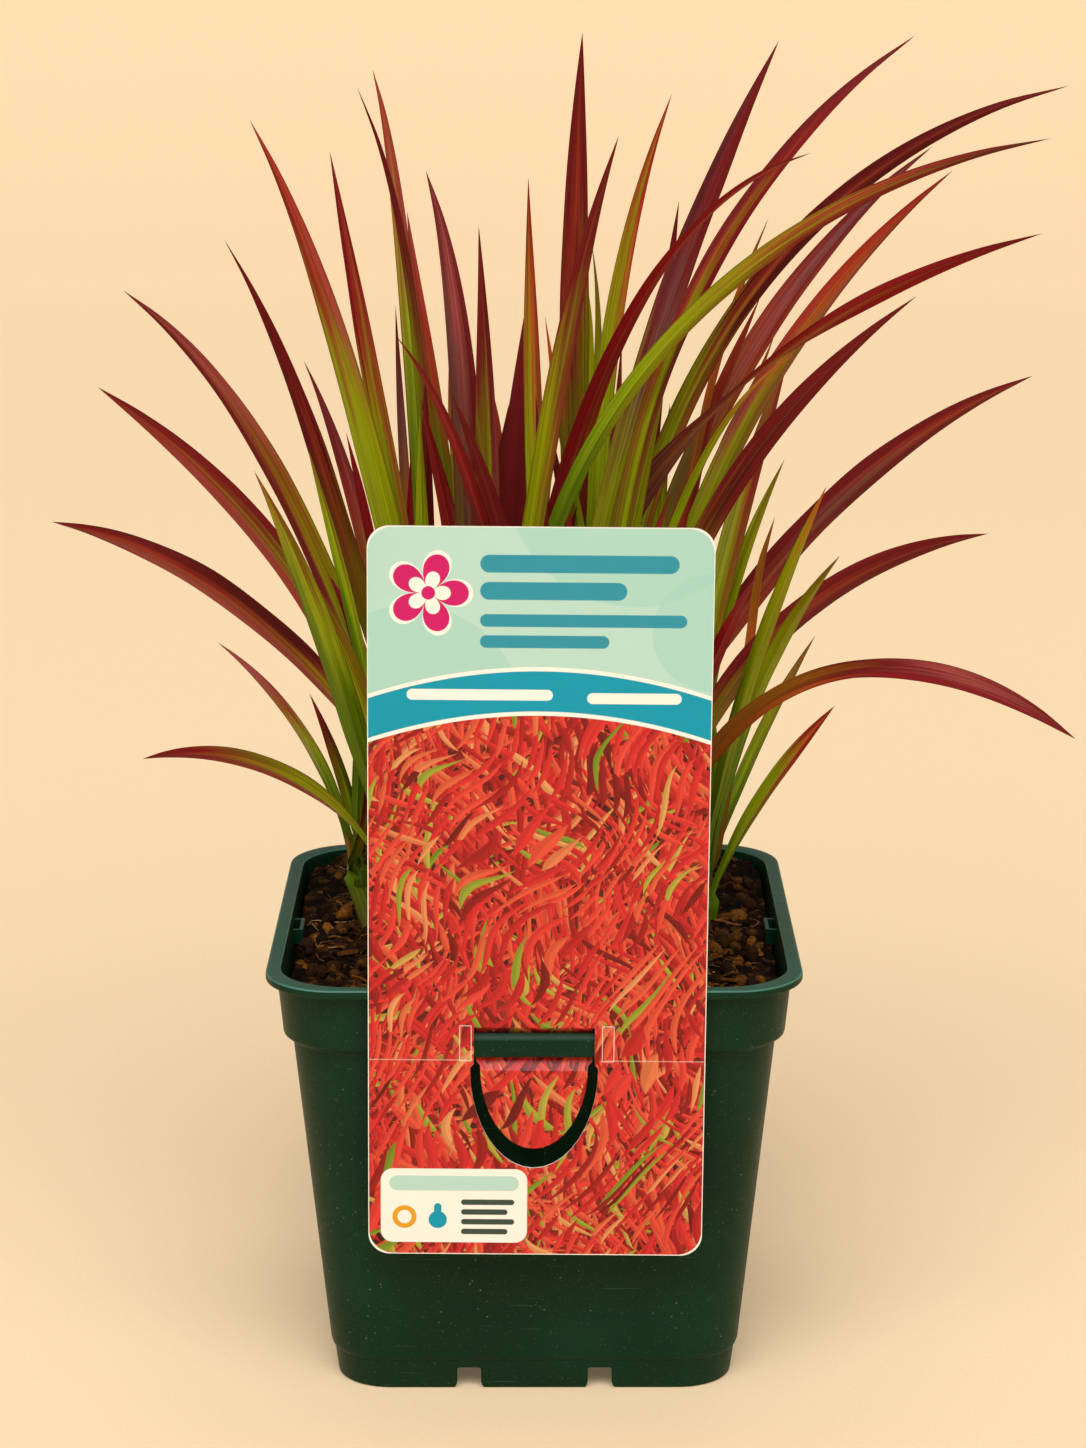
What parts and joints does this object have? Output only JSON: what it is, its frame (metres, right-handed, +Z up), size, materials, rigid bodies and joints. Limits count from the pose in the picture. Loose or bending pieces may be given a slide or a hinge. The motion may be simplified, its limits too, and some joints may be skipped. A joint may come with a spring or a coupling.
{
  "type": "potted ornamental grass",
  "caption": "Tuft of red-tinted arching grass blades on short shoots, in a square rimmed nursery pot with soil and a hanging plant label.",
  "frame": {"origin": "middle of the pot's footprint, on the surface it stands on", "axes": "+Z up, the label hangs on the -Y side (front), +X to the right seen from the front"},
  "size_m": [0.2606, 0.2304, 0.3271],
  "materials": {
    "pot_plastic": "dark green injection-moulded polypropylene, satin inside the rim, lightly scuffed",
    "soil": "damp dark brown potting mix with bark and fibres",
    "label_plastic": "printed plastic sheet, semi-gloss",
    "sheath": "smooth living grass sheath",
    "leaf_lime": "yellow-green living leaf, satin",
    "leaf_olive": "olive green living leaf, satin",
    "leaf_orange": "orange-red living leaf, satin",
    "leaf_brick": "brick red living leaf, satin",
    "leaf_crimson": "crimson living leaf, satin",
    "leaf_rose": "dusty rose-red living leaf, satin",
    "leaf_maroon": "dark maroon living leaf, satin"
  },
  "bodies": {
    "root": {"pot": "pot_plastic", "soil": "soil", "label": "label_plastic", "shoot_1": "sheath", "leaf_1_1": "leaf_olive", "leaf_1_2": "leaf_lime", "leaf_1_3": "leaf_crimson", "shoot_2": "sheath", "leaf_2_1": "leaf_olive", "leaf_2_2": "leaf_olive", "leaf_2_3": "leaf_maroon", "leaf_2_4": "leaf_lime", "shoot_3": "sheath", "leaf_3_1": "leaf_olive", "leaf_3_2": "leaf_crimson", "leaf_3_3": "leaf_crimson", "leaf_3_4": "leaf_brick", "leaf_3_5": "leaf_olive", "leaf_3_6": "leaf_maroon", "leaf_3_7": "leaf_maroon", "shoot_4": "sheath", "leaf_4_1": "leaf_maroon", "leaf_4_2": "leaf_rose", "leaf_4_3": "leaf_crimson", "leaf_4_4": "leaf_olive", "leaf_4_5": "leaf_crimson", "leaf_4_6": "leaf_olive", "shoot_5": "sheath", "leaf_5_1": "leaf_olive", "leaf_5_2": "leaf_lime", "leaf_5_3": "leaf_olive", "leaf_5_4": "leaf_brick", "leaf_5_5": "leaf_crimson", "leaf_5_6": "leaf_crimson", "shoot_6": "sheath", "leaf_6_1": "leaf_olive", "leaf_6_2": "leaf_olive", "leaf_6_3": "leaf_rose", "leaf_6_4": "leaf_brick", "leaf_6_5": "leaf_crimson", "shoot_7": "sheath", "leaf_7_1": "leaf_orange", "leaf_7_2": "leaf_brick", "leaf_7_3": "leaf_maroon", "leaf_7_4": "leaf_maroon", "leaf_7_5": "leaf_orange", "leaf_7_6": "leaf_rose", "shoot_8": "sheath", "leaf_8_1": "leaf_maroon", "leaf_8_2": "leaf_olive", "leaf_8_3": "leaf_crimson", "leaf_8_4": "leaf_crimson", "leaf_8_5": "leaf_maroon", "leaf_8_6": "leaf_maroon", "shoot_9": "sheath", "leaf_9_1": "leaf_olive", "leaf_9_2": "leaf_lime", "leaf_9_3": "leaf_lime", "leaf_9_4": "leaf_lime", "leaf_9_5": "leaf_orange"}
  },
  "joints": []
}
